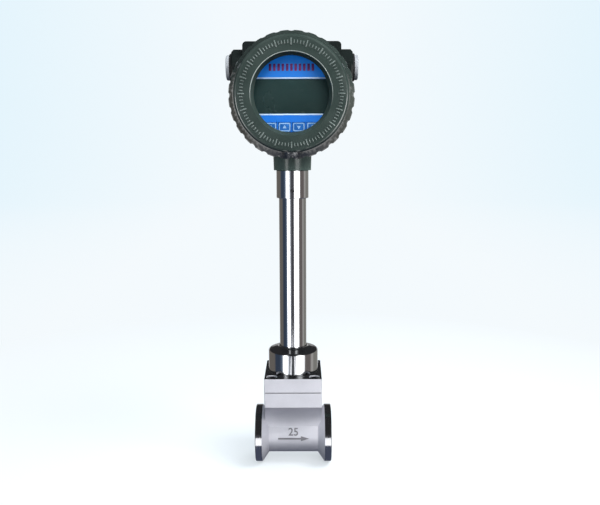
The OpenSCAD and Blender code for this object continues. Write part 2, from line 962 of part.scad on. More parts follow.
// Flutes round the grip band
module grip_flutes() {
    reach = cover_d / 2 - grip_depth + grip_r;
    flute_run = 4;
    flute_h = grip_h + flute_run;
    for (i = [1:grip_count])
        rotate(i * 360 / grip_count)
            translate([reach, 0, front_z - over])
                cylinder(h = flute_h + over, r = grip_r);
}

// Screwed ring cover with a bevelled window opening and a seat for the glass
module front_cover() {
    seat_r = glass_r + fit;
    hollow_end = ring_back - gap;
    color(paint)
        on_head()
            difference() {
                rotate_extrude()
                    difference() {
                        cover_section(front_cover_h);
                        polygon([
                            [-over, skirt_end - over], [skirt_in_r, skirt_end - over],
                            [skirt_in_r, hollow_end - (skirt_in_r - seat_r)], [seat_r, hollow_end],
                            [seat_r, lip_z], [window_r, lip_z], [window_r + bevel, front_end],
                            [window_r + bevel, front_end + over], [-over, front_end + over]
                        ]);
                    }
                grip_flutes();
            }
}

module window_glass() {
    color("#a8c4c8", 0.4)
        on_head()
            translate([0, 0, glass_back])
                cylinder(h = glass_t, r = glass_r);
}

module window_gasket() {
    color(black_rubber)
        on_head()
            translate([0, 0, glass_front])
                ring(glass_r, ring_in_r, window_gasket_t);
}

// Threaded ring behind the glass, with two slots for its key
module glass_ring() {
    slot_w = 3;
    color(paint)
        on_head()
            translate([0, 0, ring_back])
                difference() {
                    ring(glass_r, ring_in_r, glass_ring_t);
                    translate([-glass_r - over, -slot_w / 2, -over])
                        cube([2 * (glass_r + over), slot_w, over + glass_ring_t / 2]);
                }
}

// Blind screwed cover of the terminal compartment
module rear_cover() {
    hollow_end = rear_end - rear_wall;
    hollow_round = 4;
    color(paint)
        on_rear()
            difference() {
                rotate_extrude()
                    difference() {
                        cover_section(rear_cover_h);
                        polygon([
                            [-over, skirt_end - over], [skirt_in_r, skirt_end - over],
                            [skirt_in_r, hollow_end - hollow_round],
                            [skirt_in_r - hollow_round, hollow_end], [-over, hollow_end]
                        ]);
                    }
                grip_flutes();
            }
}

module front_oring() {
    on_head()
        cover_oring();
}

module rear_oring() {
    on_rear()
        cover_oring();
}

// Push key number i: cap through the face and a flange that stops behind it
module key_cap(i) {
    flange_w = key_w + 2 * key_flange;
    flange_h = key_h + 2 * key_flange;
    color("#4f9be6")
        on_head()
            at_key(i) {
                translate([0, 0, face_back - key_flange_t])
                    linear_extrude(key_flange_t)
                        square([flange_w, flange_h], center = true);
                translate([0, 0, face_back - key_flange_t / 2])
                    linear_extrude(face_t + key_proud + key_flange_t / 2)
                        round_rect(key_w, key_h, key_w / 8);
            }
}

module key_1() key_cap(1);
module key_2() key_cap(2);
module key_3() key_cap(3);
module key_4() key_cap(4);

module entry_washer(side) {
    color(black_rubber)
        on_entry(side)
            translate([0, 0, boss_span / 2])
                ring(washer_d / 2, entry_d / 2 + thread_fit, washer_t);
}

// Plug with a round chamfered head, a threaded shank and a hexagon socket
module entry_plug(side) {
    edge = 0.8;
    head_r = plug_d / 2;
    shank_r = entry_d / 2 - thread_fit;
    color(plug_grey)
        on_entry(side)
            translate([0, 0, plug_out])
                difference() {
                    rotate_extrude()
                        polygon([
                            [0, -plug_shank], [shank_r - edge, -plug_shank], [shank_r, edge - plug_shank],
                            [shank_r, 0], [head_r, 0], [head_r, plug_t - edge],
                            [head_r - edge, plug_t], [0, plug_t]
                        ]);
                    translate([0, 0, plug_t - plug_hex_depth])
                        hex(plug_hex, plug_hex_depth + over);
                }
}

module washer_left() entry_washer(-1);
module washer_right() entry_washer(1);
module plug_left() entry_plug(-1);
module plug_right() entry_plug(1);

meter_body();
shedder_bar();
sensor_probe();
sensor_gasket();
joint_gasket();
bonnet_plate();
bonnet_hub();
bonnet_screws();
stem_tube();
stem_collar();
collar_screw();
sensor_cable();
housing();
neck_screw();
display_posts();
display_board();
lcd_panel();
key_switches();
face_plate();
display_screws();
amplifier_board();
amplifier_parts();
terminal_block();
terminal_screws();
front_oring();
front_cover();
window_glass();
window_gasket();
glass_ring();
rear_oring();
rear_cover();
key_1();
key_2();
key_3();
key_4();
washer_left();
plug_left();
washer_right();
plug_right();
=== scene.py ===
# %% [markdown]
# # A vortex flow meter, dressed for the studio
# The meter is already built as exact solids: a cast body that is clamped between two pipe flanges, a
# stainless stem, and a round display head. This lesson keeps every solid where it is and works on what the
# eye reads first: rounded edges, satin paint, bead-blasted and polished steel, the printed display and the
# light. We start by loading the solids as a fixed frame.

# %% Load the frame
import json
import math

import bmesh
import bpy
from mathutils import Matrix, Vector


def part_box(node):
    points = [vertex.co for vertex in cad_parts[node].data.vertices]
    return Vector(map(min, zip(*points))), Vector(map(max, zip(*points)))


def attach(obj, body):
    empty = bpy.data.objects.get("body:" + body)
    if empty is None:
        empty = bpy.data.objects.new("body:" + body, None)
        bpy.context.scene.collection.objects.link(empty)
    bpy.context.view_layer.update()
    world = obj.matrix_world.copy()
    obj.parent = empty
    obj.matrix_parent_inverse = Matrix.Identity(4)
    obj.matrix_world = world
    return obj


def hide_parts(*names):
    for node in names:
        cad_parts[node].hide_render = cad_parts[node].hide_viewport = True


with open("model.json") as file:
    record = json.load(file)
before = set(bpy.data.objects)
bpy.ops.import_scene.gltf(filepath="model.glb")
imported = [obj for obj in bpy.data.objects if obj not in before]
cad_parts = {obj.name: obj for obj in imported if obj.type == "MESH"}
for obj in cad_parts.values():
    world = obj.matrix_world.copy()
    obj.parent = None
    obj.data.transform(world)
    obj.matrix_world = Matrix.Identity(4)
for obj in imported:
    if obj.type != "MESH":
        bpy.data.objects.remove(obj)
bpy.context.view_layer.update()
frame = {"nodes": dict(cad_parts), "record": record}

nodes = frame["nodes"]
members_of = frame["record"]["behaviour"]["bodies"]
body_of_node = {node: body for body, members in members_of.items() for node in members}
MM = 0.001

# %% [markdown]
# ## Places that everything else is measured from
# A maker reads positions off the parts, not off a list. The head's axis is the middle of the front cover, the
# front plane is where that cover ends, and the display lies a little behind. All of it comes from the frame.

# %% Read the main places from the frame
cover_low, cover_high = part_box("front_cover")
face_low, face_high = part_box("face_plate")
lcd_low, lcd_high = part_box("lcd_panel")
body_low, body_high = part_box("meter_body")
plug_low, plug_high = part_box("plug_left")
housing_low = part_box("housing")[0]
head_z = (cover_low.z + cover_high.z) / 2
cover_front_y = cover_low.y
face_front_y = face_low.y
floor_z = body_low.z
print("head axis at", round(head_z / MM, 1), "mm, cover front at", round(cover_front_y / MM, 1), "mm")

# %% [markdown]
# ## Camera
# The picture was taken from slightly above the meter's body, with the display almost at eye level. The place,
# tilt and focal length below were worked out from edges whose real position is known, such as the plate's
# corners and the two clamp discs. A 36 mm wide sensor stands for the 600 pixel wide frame.

# %% Camera
camera_place = Vector((9.0, -719.2, 300.0)) * MM
camera_pitch = math.radians(8.22)
camera_yaw = math.radians(-0.12)
camera_roll = math.radians(-0.18)
camera_data = bpy.data.cameras.new("camera")
camera_data.sensor_width = 36.0
camera_data.lens = 41.88
camera = bpy.data.objects.new("camera", camera_data)
bpy.context.scene.collection.objects.link(camera)
turn = Matrix.Rotation(-camera_yaw, 4, "Z") @ Matrix.Rotation(math.pi / 2 - camera_pitch, 4, "X")
camera.matrix_world = Matrix.Translation(camera_place) @ turn @ Matrix.Rotation(camera_roll, 4, "Z")
bpy.context.scene.camera = camera
print("camera lens", camera_data.lens, "mm")

# %% [markdown]
# ## Helpers for node trees
# Every finish below is a small network of nodes, which could be drawn by hand in the Shader Editor. Helpers
# keep the same networks readable as text: one adds a node and fills in its sockets by name, one starts a
# material and gives back its main shader and its Object coordinates, and the others stand for steps that
# return often, such as noise, a range of values, a mix of two colours or a bump.

# %% Start a tree
def add(tree, kind, settings=None, **sockets):
    """Add a node, set its own properties and fill in its sockets; an underscore stands for a space."""
    node = tree.nodes.new(kind)
    for name, value in (settings or {}).items():
        setattr(node, name, value)
    for name, value in sockets.items():
        node.inputs[name.replace("_", " ")].default_value = value
    return node


def start_material(name, **sockets):
    """A new material with its main shader's sockets filled in, and its Object coordinates."""
    material = bpy.data.materials.new(name)
    material.use_nodes = True
    tree = material.node_tree
    shader = tree.nodes["Principled BSDF"]
    for socket, value in sockets.items():
        shader.inputs[socket.replace("_", " ")].default_value = value
    place = add(tree, "ShaderNodeTexCoord").outputs["Object"]
    return material, tree, shader, place


# %% Work with values and vectors
def noise(tree, place, scale, detail=3.0, stretch=(1, 1, 1)):
    """Noise on stretched coordinates; scale is in repeats per metre."""
    mapping = add(tree, "ShaderNodeMapping", Scale=stretch)
    texture = add(tree, "ShaderNodeTexNoise", Scale=scale, Detail=detail)
    tree.links.new(place, mapping.inputs["Vector"])
    tree.links.new(mapping.outputs["Vector"], texture.inputs["Vector"])
    return texture.outputs["Fac"]


def spread(tree, value, low, high, start=0.3, end=0.7):
    """Carry a value from the range start to end over to the range low to high, and hold it there beyond."""
    ranged = add(tree, "ShaderNodeMapRange", From_Min=start, From_Max=end, To_Min=low, To_Max=high)
    tree.links.new(value, ranged.inputs["Value"])
    return ranged.outputs["Result"]


def times(tree, first, second):
    """The product of two values."""
    node = add(tree, "ShaderNodeMath", {"operation": "MULTIPLY"})
    tree.links.new(first, node.inputs[0])
    tree.links.new(second, node.inputs[1])
    return node.outputs[0]


def size_of(tree, value):
    """A value without its sign."""
    node = add(tree, "ShaderNodeMath", {"operation": "ABSOLUTE"})
    tree.links.new(value, node.inputs[0])
    return node.outputs[0]


def length_of(tree, vector):
    """The length of a vector."""
    node = add(tree, "ShaderNodeVectorMath", {"operation": "LENGTH"})
    tree.links.new(vector, node.inputs[0])
    return node.outputs["Value"]


def split_axes(tree, vector):
    """The parts of a vector, as sockets named X, Y and Z."""
    node = add(tree, "ShaderNodeSeparateXYZ")
    tree.links.new(vector, node.inputs["Vector"])
    return node.outputs


# %% Mix colours and raise bumps
def blend_colours(tree, factor, first, second):
    """Mix two colours by a factor; each is a colour or a socket."""
    mix = add(tree, "ShaderNodeMix", {"data_type": "RGBA"})
    tree.links.new(factor, mix.inputs["Factor"])
    for socket, colour in ((mix.inputs[6], first), (mix.inputs[7], second)):
        if isinstance(colour, bpy.types.NodeSocket):
            tree.links.new(colour, socket)
        else:
            socket.default_value = (*colour, 1.0)
    return mix.outputs[2]


def bump(tree, shader, height, strength, distance):
    """Let a height drive the shader's normal; distance is the real depth in metres."""
    node = add(tree, "ShaderNodeBump", Strength=strength, Distance=distance)
    tree.links.new(height, node.inputs["Height"])
    tree.links.new(node.outputs["Normal"], shader.inputs["Normal"])


print("helpers for node trees are ready")

# %% [markdown]
# ## Paint on the head
# The head is an aluminium casting under a satin, dark grey-green paint. Sprayed paint is never even: it has a
# fine orange peel, faint clouds of lighter and darker tone, and its gloss drifts a little. So noise at three
# scales drives the tone, the gloss and the bumps of one shader with a clear coat.
#
# The tick marks on the cover stand proud and get a lighter paint. The upper edge of the window gets a painted
# highlight: a thin, lighter ring where light would catch the edge. The threads of the covers are left bare.
# The housing's paint is lighter on its neck, as painted light, and darkens into painted shade between the
# covers, where they keep light off it; the neck is also duller. Masks find these places by their distance
# from the head's axis, from its middle or from its foot, so no second material is needed on one piece.

# %% Where the paint is rubbed or left off
def painted_highlight_ring(tree, place, radius):
    """One on a thin ring round the head's axis, on the front and above the axis, where a painted highlight
    goes; zero elsewhere.
    """
    core, fade, climb, front_half = 0.25 * MM, 0.45 * MM, 12 * MM, 1 * MM
    centred = add(tree, "ShaderNodeVectorMath", {"operation": "MULTIPLY_ADD"})
    centred.inputs[1].default_value = (1, 0, 1)
    centred.inputs[2].default_value = (0, 0, -head_z)
    tree.links.new(place, centred.inputs[0])
    reach = length_of(tree, centred.outputs[0])
    inner = spread(tree, reach, 0, 1, radius - fade, radius - core)
    outer = spread(tree, reach, 1, 0, radius + core, radius + fade)
    axes = split_axes(tree, place)
    upper = spread(tree, axes["Z"], 0, 1, head_z - climb, head_z + climb)
    front = spread(tree, axes["Y"], 1, 0, -front_half, front_half)
    return times(tree, times(tree, inner, outer), times(tree, upper, front))


def bare_thread(tree, place, depth):
    """One nearer to the head's middle than the given depth, so on a cover's thread."""
    bare_up_to, painted_from = depth - 0.3 * MM, depth - 0.2 * MM
    return spread(tree, size_of(tree, split_axes(tree, place)["Y"]), 1, 0, bare_up_to, painted_from)


# %% Satin paint
full_coat = 0.8
dull_coat = 0.2
highlight_tone = (0.34, 0.37, 0.35)
bare_tone = (0.60, 0.61, 0.62)


def satin_paint(name, dark, light, gloss, shade=None, bare=None, painted_highlight=None):
    """Sprayed paint. Shade gives two heights and the tone of painted shade that it fades to between them,
    bare the depth from the head's middle where the paint ends, and the last argument the radius of an edge
    that gets a painted highlight."""
    material, tree, shader, place = start_material(
        name, Coat_Weight=full_coat, Coat_Roughness=0.08, Coat_IOR=1.75, Specular_IOR_Level=0.2)
    clouds = spread(tree, noise(tree, place, scale=45.0, detail=4.0), 0, 1)
    tone = blend_colours(tree, clouds, dark, light)
    # Painted shade: the tone darkens with height to the shaded tone, between the covers.
    if shade:
        low_z, high_z, shaded = shade
        height = spread(tree, split_axes(tree, place)["Z"], 0, 1, low_z, high_z)
        tone = blend_colours(tree, height, tone, shaded)
        tree.links.new(spread(tree, height, dull_coat, full_coat, 0, 0.2), shader.inputs["Coat Weight"])
    # Painted highlight: a thin ring on the window's upper edge is made lighter.
    if painted_highlight:
        tone = blend_colours(tree, painted_highlight_ring(tree, place, painted_highlight), tone, highlight_tone)
    if bare:
        metal = bare_thread(tree, place, bare)
        tone = blend_colours(tree, metal, tone, bare_tone)
        tree.links.new(metal, shader.inputs["Metallic"])
        tree.links.new(spread(tree, metal, full_coat, 0, 0, 1), shader.inputs["Coat Weight"])
    tree.links.new(tone, shader.inputs["Base Color"])
    drift = noise(tree, place, scale=160.0)
    tree.links.new(spread(tree, drift, gloss - 0.06, gloss + 0.08), shader.inputs["Roughness"])
    peel = noise(tree, place, scale=900.0, detail=2.0)
    bump(tree, shader, peel, strength=0.25, distance=0.05 * MM)
    return material


window_edge_r = 38.2 * MM
neck_top_z = housing_low.z + 20 * MM
# The cover's paint carries a painted highlight on the window's upper edge.
head_paint = satin_paint("head_paint", (0.020, 0.031, 0.027), (0.031, 0.044, 0.039), 0.48,
                         bare=-housing_low.y, painted_highlight=window_edge_r)
# The housing's paint is lighter on its neck, as painted light, and darkens into painted shade between the
# covers.
housing_paint_with_painted_light = satin_paint("housing_paint_with_painted_light", (0.062, 0.090, 0.078), (0.086, 0.118, 0.105), 0.48,
                            shade=(neck_top_z, head_z, (0.007, 0.010, 0.0095)))
light_mark_paint = satin_paint("light_mark_paint", (0.080, 0.102, 0.094), (0.130, 0.156, 0.146), 0.34)
print("paints:", head_paint.name, housing_paint_with_painted_light.name, light_mark_paint.name)

# %% [markdown]
# ## Polished steel
# Stem, collar and hub are turned and polished, so they need a clear reflection with faint rings left by the
# lathe. The rings could be cut into the mesh, but they are finer than any mesh: noise that is pressed
# together along the stem gives them at no cost. The screws and the bar in the bore have the same finish
# without rings.

# %% Polished steel
def polished_steel(name, tone, roughness, stretch):
    """Bright metal with faint smudges; a large stretch along one axis draws its noise into rings."""
    material, tree, shader, place = start_material(name, Metallic=1.0)
    smudge = spread(tree, noise(tree, place, scale=30.0, detail=4.0), 0, 1)
    lighter = tuple(min(1.0, level * 1.06) for level in tone)
    tree.links.new(blend_colours(tree, smudge, tone, lighter), shader.inputs["Base Color"])
    rings = noise(tree, place, scale=40.0, detail=2.0, stretch=stretch)
    tree.links.new(spread(tree, rings, roughness * 0.9, roughness * 1.15), shader.inputs["Roughness"])
    bump(tree, shader, rings, strength=0.01, distance=0.02 * MM)
    return material


stem_steel = polished_steel("stem_steel", (0.74, 0.75, 0.77), 0.11, (1, 1, 60))
screw_steel = polished_steel("screw_steel", (0.20, 0.20, 0.21), 0.30, (8, 8, 8))
bare_steel = polished_steel("bare_steel", (0.66, 0.66, 0.68), 0.20, (6, 6, 6))
print("polished:", stem_steel.name, screw_steel.name, bare_steel.name)

# %% [markdown]
# ## Blasted steel
# The cast body and the plate are bead-blasted: a soft, even grey with a grain of under half a millimetre. The
# two clamp discs and the top of the plate are machined bright again. They could be pieces of their own, but
# each is one with the metal below, so a mask finds it by place or by the direction that the surface faces.

# %% Where the steel is machined
disc_thickness = 7.0 * MM


def on_discs(tree, place):
    """One on the clamp discs, found by their distance along the flow."""
    disc_start, fade = body_high.x - disc_thickness, 0.2 * MM
    distance = size_of(tree, split_axes(tree, place)["X"])
    return spread(tree, distance, 0, 1, disc_start - fade, disc_start)


def facing_up(tree, place):
    """One where the surface looks straight up, wherever its place is."""
    normal = add(tree, "ShaderNodeNewGeometry").outputs["Normal"]
    return spread(tree, split_axes(tree, normal)["Z"], 0, 1, 0.80, 0.95)


# %% Blasted steel with machined faces
machined_tone = (0.70, 0.71, 0.73)


def blasted_steel(name, find_machined, dark=(0.66, 0.65, 0.70), light=(0.76, 0.75, 0.80)):
    """Dull, grained metal that turns bright where the function find_machined gives one."""
    material, tree, shader, place = start_material(name)
    machined = find_machined(tree, place)
    grain = noise(tree, place, scale=2600.0, detail=2.0)
    clouds = spread(tree, noise(tree, place, scale=35.0, detail=4.0), 0, 1)
    cast = blend_colours(tree, clouds, dark, light)
    pits = tuple(0.6 * level for level in dark)
    speckled = blend_colours(tree, spread(tree, grain, 0, 0.22), cast, pits)
    tree.links.new(blend_colours(tree, machined, speckled, machined_tone), shader.inputs["Base Color"])
    for socket, blasted, bright in (("Metallic", 0.62, 1.0), ("Roughness", 0.52, 0.13)):
        tree.links.new(spread(tree, machined, blasted, bright, 0, 1), shader.inputs[socket])
    relief = times(tree, grain, spread(tree, machined, 1, 0, 0, 1))
    bump(tree, shader, relief, strength=0.35, distance=0.08 * MM)
    return material


body_casting = blasted_steel("body_casting", on_discs)
plate_block = blasted_steel("plate_block", facing_up)
# The cast marks are darker: painted shade for the shadows round their raised edges.
mark_casting_painted_shade = blasted_steel("mark_casting_painted_shade", on_discs, (0.20, 0.19, 0.21), (0.30, 0.29, 0.31))
print("blasted:", body_casting.name, plate_block.name, mark_casting_painted_shade.name)

# %% [markdown]
# ## Rubber, plastics and print
# These finishes cover small pieces that the eye still goes to: the keys, the pale lines, the plugs and the
# seals. None is one flat tone, so each has two near tones in clouds and a gloss that drifts with them.

# %% Plain moulded and printed finishes
def mottled(name, dark, light, roughness, grain=0.0, **sockets):
    """A plastic, rubber or print: two near tones in clouds, drifting gloss and an optional grain."""
    material, tree, shader, place = start_material(name, **sockets)
    clouds = noise(tree, place, scale=120.0)
    tone = blend_colours(tree, spread(tree, clouds, 0, 1), dark, light)
    tree.links.new(tone, shader.inputs["Base Color"])
    tree.links.new(spread(tree, clouds, roughness * 0.85, roughness * 1.2), shader.inputs["Roughness"])
    if grain:
        pores = noise(tree, place, scale=1800.0, detail=2.0)
        bump(tree, shader, pores, strength=grain, distance=0.05 * MM)
    return material


black_rubber = mottled("black_rubber", (0.010, 0.010, 0.011), (0.022, 0.022, 0.023), 0.70, grain=0.3)
black_plastic = mottled("black_plastic", (0.016, 0.016, 0.018), (0.030, 0.030, 0.032), 0.45, grain=0.15)
plug_grey = mottled("plug_grey", (0.25, 0.26, 0.28), (0.32, 0.33, 0.35), 0.42, grain=0.2)
post_brass = mottled("post_brass", (0.48, 0.34, 0.12), (0.60, 0.45, 0.18), 0.28, Metallic=1.0)
board_green = mottled("board_green", (0.010, 0.075, 0.030), (0.018, 0.110, 0.045), 0.35)
print_line = mottled("print_line", (0.55, 0.72, 0.93), (0.68, 0.83, 1.0), 0.35)
print_red = mottled("print_red", (0.150, 0.020, 0.150), (0.250, 0.022, 0.160), 0.35)
key_blue = mottled("key_blue", (0.008, 0.110, 0.400), (0.012, 0.145, 0.490), 0.32)
key_print = mottled("key_print", (0.24, 0.42, 0.68), (0.31, 0.50, 0.75), 0.32)
print("moulded and printed:", black_rubber.name, plug_grey.name, print_line.name, key_blue.name)

# %% [markdown]
# ## Blue face, dark display and window
# The face is a strong printed blue, and the display in it is almost black. Both carry painted shade that
# darkens them from top to bottom, so the height drives the mix of two tones. The face lies deep in the head,
# where little light comes in, so it is given painted light: it glows a little, though it is no lamp, to stay
# as blue as it is. The window is thin clear glass: mostly let through by a low Alpha, with a weak reflection.

# %% Panels that fade from top to bottom
def shaded_panel(name, top, bottom, low_z, high_z, roughness, glow=0.0):
    """A panel darkened from its top to its bottom by painted shade; glow is painted light that makes it shine
    a little.
    """
    material, tree, shader, place = start_material(
        name, Coat_Weight=0.3, Coat_Roughness=0.08, Emission_Strength=glow)
    height = spread(tree, split_axes(tree, place)["Z"], 0, 1, low_z, high_z)
    clouds = noise(tree, place, scale=60.0)
    shade = blend_colours(tree, height, bottom, top)
    darker = tuple(0.8 * (a + b) / 2 for a, b in zip(top, bottom))
    tone = blend_colours(tree, spread(tree, clouds, 0, 0.35), shade, darker)
    tree.links.new(tone, shader.inputs["Base Color"])
    tree.links.new(tone, shader.inputs["Emission Color"])
    tree.links.new(spread(tree, clouds, roughness * 0.8, roughness * 1.3), shader.inputs["Roughness"])
    return material


# Both panels darken towards their foot as painted shade, and the face glows a little with painted light.
face_blue = shaded_panel(
    "face_blue", (0.006, 0.225, 0.840), (0.003, 0.120, 0.520), face_low.z, face_high.z, 0.35, glow=0.22)
display_dark = shaded_panel(
    "display_dark", (0.026, 0.060, 0.057), (0.013, 0.028, 0.026), lcd_low.z, lcd_high.z, 0.22)
window_clear = mottled("window_clear", (0.010, 0.014, 0.014), (0.018, 0.024, 0.024), 0.05, Alpha=0.05)
print("panels:", face_blue.name, display_dark.name, window_clear.name)

# %% [markdown]
# ## Threads
# Covers and plugs are screwed in, and their threads come into view when they are backed out. A thread is one
# groove that winds round a cylinder. The solid has that cylinder as a ring of long, narrow faces, so their
# long edges are cut into rows, and each row is pushed inwards by a wave that turns with the angle. The crests
# stay at the solid's own radius, so nothing grows and nothing rubs.

# %% Wind a groove round a cylinder
rows_per_turn = 8
fade_rows = 5


def cut_thread(work, axis, centre, end, way, first, turns, pitch, depth):
    """Cut a thread that starts a distance first from the end of a shank and runs the given way along it."""
    one, two = (axis + 1) % 3, (axis + 2) % 3
    end_zone, same_radius = 1.2 * MM, 0.01 * MM

    def reach(vert):
        return math.hypot(vert.co[one] - centre[one], vert.co[two] - centre[two])

    def along(vert):
        return way * (vert.co[axis] - end)

    radius = max(reach(vert) for vert in work.verts if along(vert) < end_zone)
    length = turns * pitch
    long_edges = [edge for edge in work.edges
                  if all(abs(reach(vert) - radius) < same_radius for vert in edge.verts)
                  and abs(along(edge.verts[0]) - along(edge.verts[1])) > length]
    lowest = min(along(vert) for edge in long_edges for vert in edge.verts)
    highest = max(along(vert) for edge in long_edges for vert in edge.verts)
    rows = round(rows_per_turn * turns)
    cut = bmesh.ops.subdivide_edges(work, edges=long_edges, cuts=rows)["geom_inner"]
    for vert in (item for item in cut if isinstance(item, bmesh.types.BMVert)):
        row = round((along(vert) - lowest) / (highest - lowest) * (rows + 1)) - 1
        place = end + way * (first + length * row / (rows - 1))
        angle = math.atan2(vert.co[two] - centre[two], vert.co[one] - centre[one])
        phase = (place / pitch - angle / (2 * math.pi)) % 1.0
        # A triangle wave that is cut off below and above has flat crests and flat roots.
        groove = min(1.0, max(0.0, 1.35 * (1 - abs(2 * phase - 1)) - 0.2))
        fade = min(1.0, row / fade_rows, (rows - 1 - row) / fade_rows)
        shrink = 1 - depth * groove * fade / radius
        vert.co[axis] = place
        for i in (one, two):
            vert.co[i] = centre[i] + (vert.co[i] - centre[i]) * shrink
    return len(long_edges) * rows


# %% Where the threads run
cover_axis = Vector((0, 0, head_z))
plug_axis = Vector((0, (plug_low.y + plug_high.y) / 2, (plug_low.z + plug_high.z) / 2))
# Distance from the end, number of turns, pitch and depth.
cover_thread = (1.8 * MM, 2.9, 2.0 * MM, 1.0 * MM)
plug_thread = (1.8 * MM, 6.0, 1.5 * MM, 0.75 * MM)
# Axis, a point on it, the end of the shank, and the way that the shank runs from there.
thread_of = {
    "front_cover": (1, cover_axis, cover_high.y, -1, *cover_thread),
    "rear_cover": (1, cover_axis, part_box("rear_cover")[0].y, 1, *cover_thread),
    "plug_left": (0, plug_axis, plug_high.x, -1, *plug_thread),
    "plug_right": (0, plug_axis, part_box("plug_right")[0].x, 1, *plug_thread),
}
print("threads to cut:", ", ".join(thread_of))

# %% [markdown]
# ## Rounded edges for the solids
# Exact solids have razor-sharp edges, and nothing real does. A copy of each visible solid is welded, its flat
# areas are cleaned, and a Bevel modifier rounds every edge that turns by more than about thirty degrees.
# Those edges are marked before a thread is cut, so that the bevel leaves the thread alone. The copy then
# stands for its solid and rides on the same body.

# %% Copy a solid and round its edges
sharp_angle = math.radians(32)
flat_angle = math.radians(0.4)
weld_distance = 0.002 * MM


def finish_node(node, material, edge, thread=None):
    """A rounded copy of a CAD node that replaces it; edge is the bevel's width in metres."""
    mesh = bpy.data.meshes.new(node + "_finished")
    work = bmesh.new()
    work.from_mesh(nodes[node].data)
    bmesh.ops.remove_doubles(work, verts=work.verts, dist=weld_distance)
    bmesh.ops.dissolve_limit(work, angle_limit=flat_angle, verts=work.verts, edges=work.edges)
    marks = work.edges.layers.float.new("bevel_weight_edge")
    for line in work.edges:
        line[marks] = float(len(line.link_faces) == 2 and line.calc_face_angle() > sharp_angle)
    if thread:
        print(node, "thread:", cut_thread(work, *thread), "points")
    work.to_mesh(mesh)
    work.free()
    for name in ("custom_normal", "sharp_edge", "sharp_face"):
        if name in mesh.attributes:
            mesh.attributes.remove(mesh.attributes[name])
    mesh.shade_smooth()
    mesh.set_sharp_from_angle(angle=sharp_angle)
    mesh.materials.clear()
    mesh.materials.append(material)
    piece = bpy.data.objects.new(node + "_finished", mesh)
    bpy.context.scene.collection.objects.link(piece)
    bevel = piece.modifiers.new("edges", "BEVEL")
    bevel.width = edge
    bevel.segments = 2
    bevel.limit_method = "WEIGHT"
    bevel.harden_normals = True
    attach(piece, body_of_node[node])
    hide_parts(node)
    return piece


# %% Finish and edge width in millimetres of each visible solid
edges_of = {
    "meter_body": (body_casting, 0.5), "bonnet_plate": (plate_block, 0.45), "bonnet_hub": (stem_steel, 0.35),
    "stem_tube": (stem_steel, 0.2), "stem_collar": (stem_steel, 0.3), "bonnet_screws": (screw_steel, 0.25),
    "housing": (housing_paint_with_painted_light, 0.8), "front_cover": (head_paint, 0.5), "rear_cover": (head_paint, 0.5),
    "glass_ring": (head_paint, 0.2), "plug_left": (plug_grey, 0.35), "plug_right": (plug_grey, 0.35),
    "washer_left": (black_rubber, 0.4), "washer_right": (black_rubber, 0.4),
    "face_plate": (face_blue, 0.15), "terminal_block": (black_plastic, 0.4),
    "shedder_bar": (bare_steel, 0.15), "sensor_probe": (bare_steel, 0.2),
}
for key in range(1, 5):
    edges_of[f"key_{key}"] = (key_blue, 0.25)
finished = {node: finish_node(node, material, edge * MM, thread_of.get(node))
            for node, (material, edge) in edges_of.items()}
print("rounded", len(finished), "solids")

# %% [markdown]
# ## The solids that stay as they are
# Small, round or hidden solids already have the right form, so they only get their finish.

# %% Finish the remaining solids
plain_finish = {
    "sensor_gasket": black_rubber, "joint_gasket": black_rubber, "front_oring": black_rubber,
    "rear_oring": black_rubber, "window_gasket": black_rubber, "collar_screw": screw_steel,
    "neck_screw": screw_steel, "display_screws": screw_steel, "terminal_screws": bare_steel,
    "sensor_cable": black_plastic, "key_switches": black_plastic, "amplifier_parts": black_plastic,
    "display_posts": post_brass, "display_board": board_green, "amplifier_board": board_green,
    "lcd_panel": display_dark, "window_glass": window_clear,
}
for node, material in plain_finish.items():
    nodes[node].data.materials.clear()
    nodes[node].data.materials.append(material)
left_over = sorted(set(nodes) - set(plain_finish) - set(finished))
print("plain finishes:", len(plain_finish), "left over:", left_over)

# %% [markdown]
# ## Pieces that ride on the solids
# Raised marks and prints are pieces of their own. One helper puts a finished mesh into the scene, lets it
# ride on a body and names the finish that it belongs to. The other makes the rounded block that most need.

# %% Helpers for added pieces
def place_piece(name, mesh, material, body):
    """Put a mesh into the scene at the origin as a piece that rides on a body."""
    mesh.materials.clear()
    mesh.materials.append(material)
    piece = bpy.data.objects.new(name, mesh)
    bpy.context.scene.collection.objects.link(piece)
    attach(piece, body)


def box_mesh(name, size, edge):
    """A block with rounded edges, centred on the origin, as a mesh."""
    mesh = bpy.data.meshes.new(name)
    work = bmesh.new()
    bmesh.ops.create_cube(work, size=1.0)
    bmesh.ops.scale(work, vec=size, verts=work.verts)
    bmesh.ops.bevel(work, geom=work.edges[:], offset=edge, segments=2, profile=0.5, affect="EDGES")
    work.to_mesh(mesh)
    work.free()
    mesh.shade_smooth()
    return mesh


print("helpers for added pieces are ready")

# %% [markdown]
# ## Bars that repeat
# The marks on the cover repeat round a circle, and the red marks on the display face along a line. Copies
# could be placed in a loop, but Geometry Nodes keep the rule itself: points on a circle or a line, and one
# bar on each point that is selected. Both trees begin and end alike, so those stretches are helpers.

# %% Begin, fill and end a tree
def start_tree(name, *inputs):
    """A new tree with named inputs and one geometry output, and its input sockets."""
    tree = bpy.data.node_groups.new(name, "GeometryNodeTree")
    tree.interface.new_socket("Geometry", in_out="OUTPUT", socket_type="NodeSocketGeometry")
    for title, kind in inputs:
        tree.interface.new_socket(title, in_out="INPUT", socket_type="NodeSocket" + kind)
    return tree, add(tree, "NodeGroupInput").outputs


